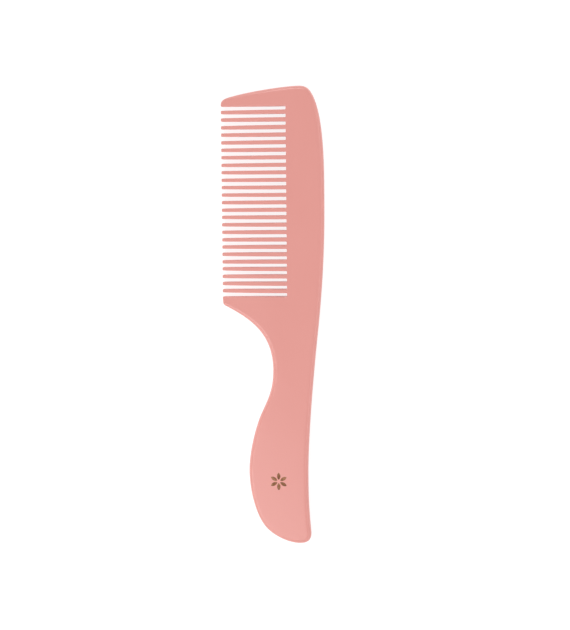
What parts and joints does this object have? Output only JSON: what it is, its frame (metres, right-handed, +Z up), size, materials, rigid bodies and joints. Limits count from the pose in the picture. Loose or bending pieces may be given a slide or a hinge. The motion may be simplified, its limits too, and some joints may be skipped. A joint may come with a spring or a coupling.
{
  "type": "wide tooth comb",
  "caption": "Flat moulded handle comb with one row of straight teeth between broad end guards, a finger notch and a rounded grip.",
  "frame": {"origin": "centre of the comb's bounding box, on the plane that the comb lies on", "axes": "+X along the comb from the head end to the tail of the handle, +Y across it from the tooth tips to the back, +Z up through the thickness, out of the marked face"},
  "size_m": [0.195, 0.0433, 0.0042],
  "materials": {
    "comb_plastic": "satin",
    "stamped_foil": "satin"
  },
  "bodies": {
    "root": {"spine": "comb_plastic", "handle": "comb_plastic", "head_end_guard": "comb_plastic", "heel_end_guard": "comb_plastic", "tooth_01": "comb_plastic", "tooth_02": "comb_plastic", "tooth_03": "comb_plastic", "tooth_04": "comb_plastic", "tooth_05": "comb_plastic", "tooth_06": "comb_plastic", "tooth_07": "comb_plastic", "tooth_08": "comb_plastic", "tooth_09": "comb_plastic", "tooth_10": "comb_plastic", "tooth_11": "comb_plastic", "tooth_12": "comb_plastic", "tooth_13": "comb_plastic", "tooth_14": "comb_plastic", "tooth_15": "comb_plastic", "tooth_16": "comb_plastic", "tooth_17": "comb_plastic", "tooth_18": "comb_plastic", "tooth_19": "comb_plastic", "tooth_20": "comb_plastic", "tooth_21": "comb_plastic", "tooth_22": "comb_plastic", "tooth_23": "comb_plastic", "tooth_24": "comb_plastic", "tooth_25": "comb_plastic", "foil_mark": "stamped_foil"}
  },
  "joints": []
}
